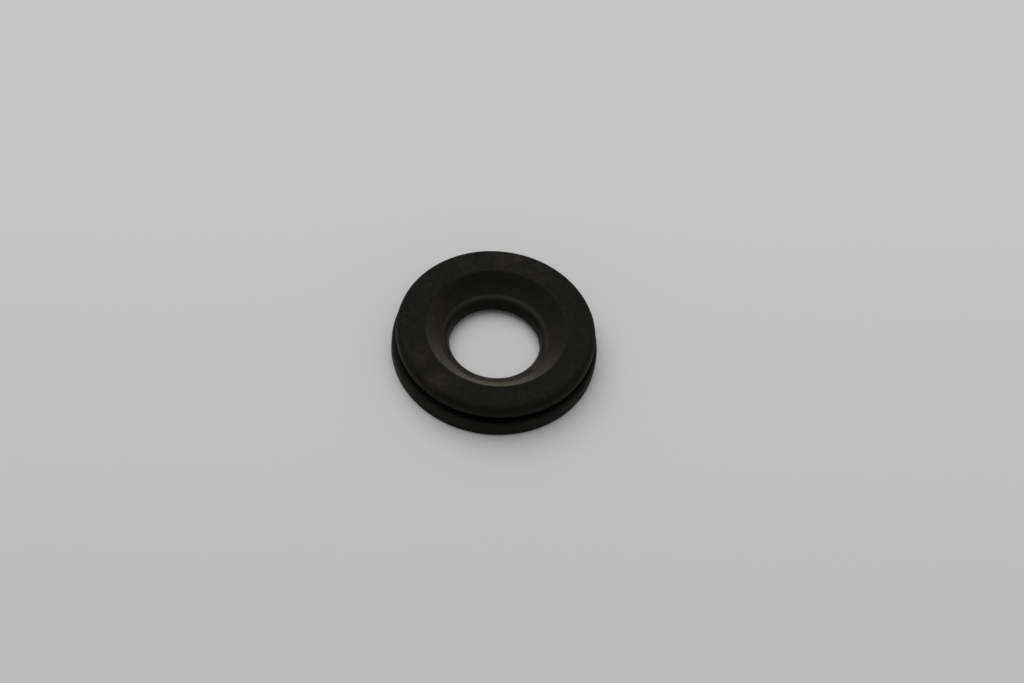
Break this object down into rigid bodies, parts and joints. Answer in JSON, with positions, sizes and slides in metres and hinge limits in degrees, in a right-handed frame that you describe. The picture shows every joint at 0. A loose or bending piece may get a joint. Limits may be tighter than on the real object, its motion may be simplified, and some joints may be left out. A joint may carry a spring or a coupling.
{
  "type": "rubber seal",
  "caption": "Round moulded rubber seal ring with a retaining groove in its rim, a dished face and a rounded inner lip.",
  "frame": {"origin": "on the ring's axis, in the plane of the base that it lies on", "axes": "+Z along the ring's axis, from the base to the dished face; X and Y are equal by symmetry"},
  "size_m": [0.034, 0.034, 0.0065],
  "materials": {
    "rubber": "matt moulded black rubber with a faint dusty bloom"
  },
  "bodies": {
    "root": {"seal": "rubber"}
  },
  "joints": []
}
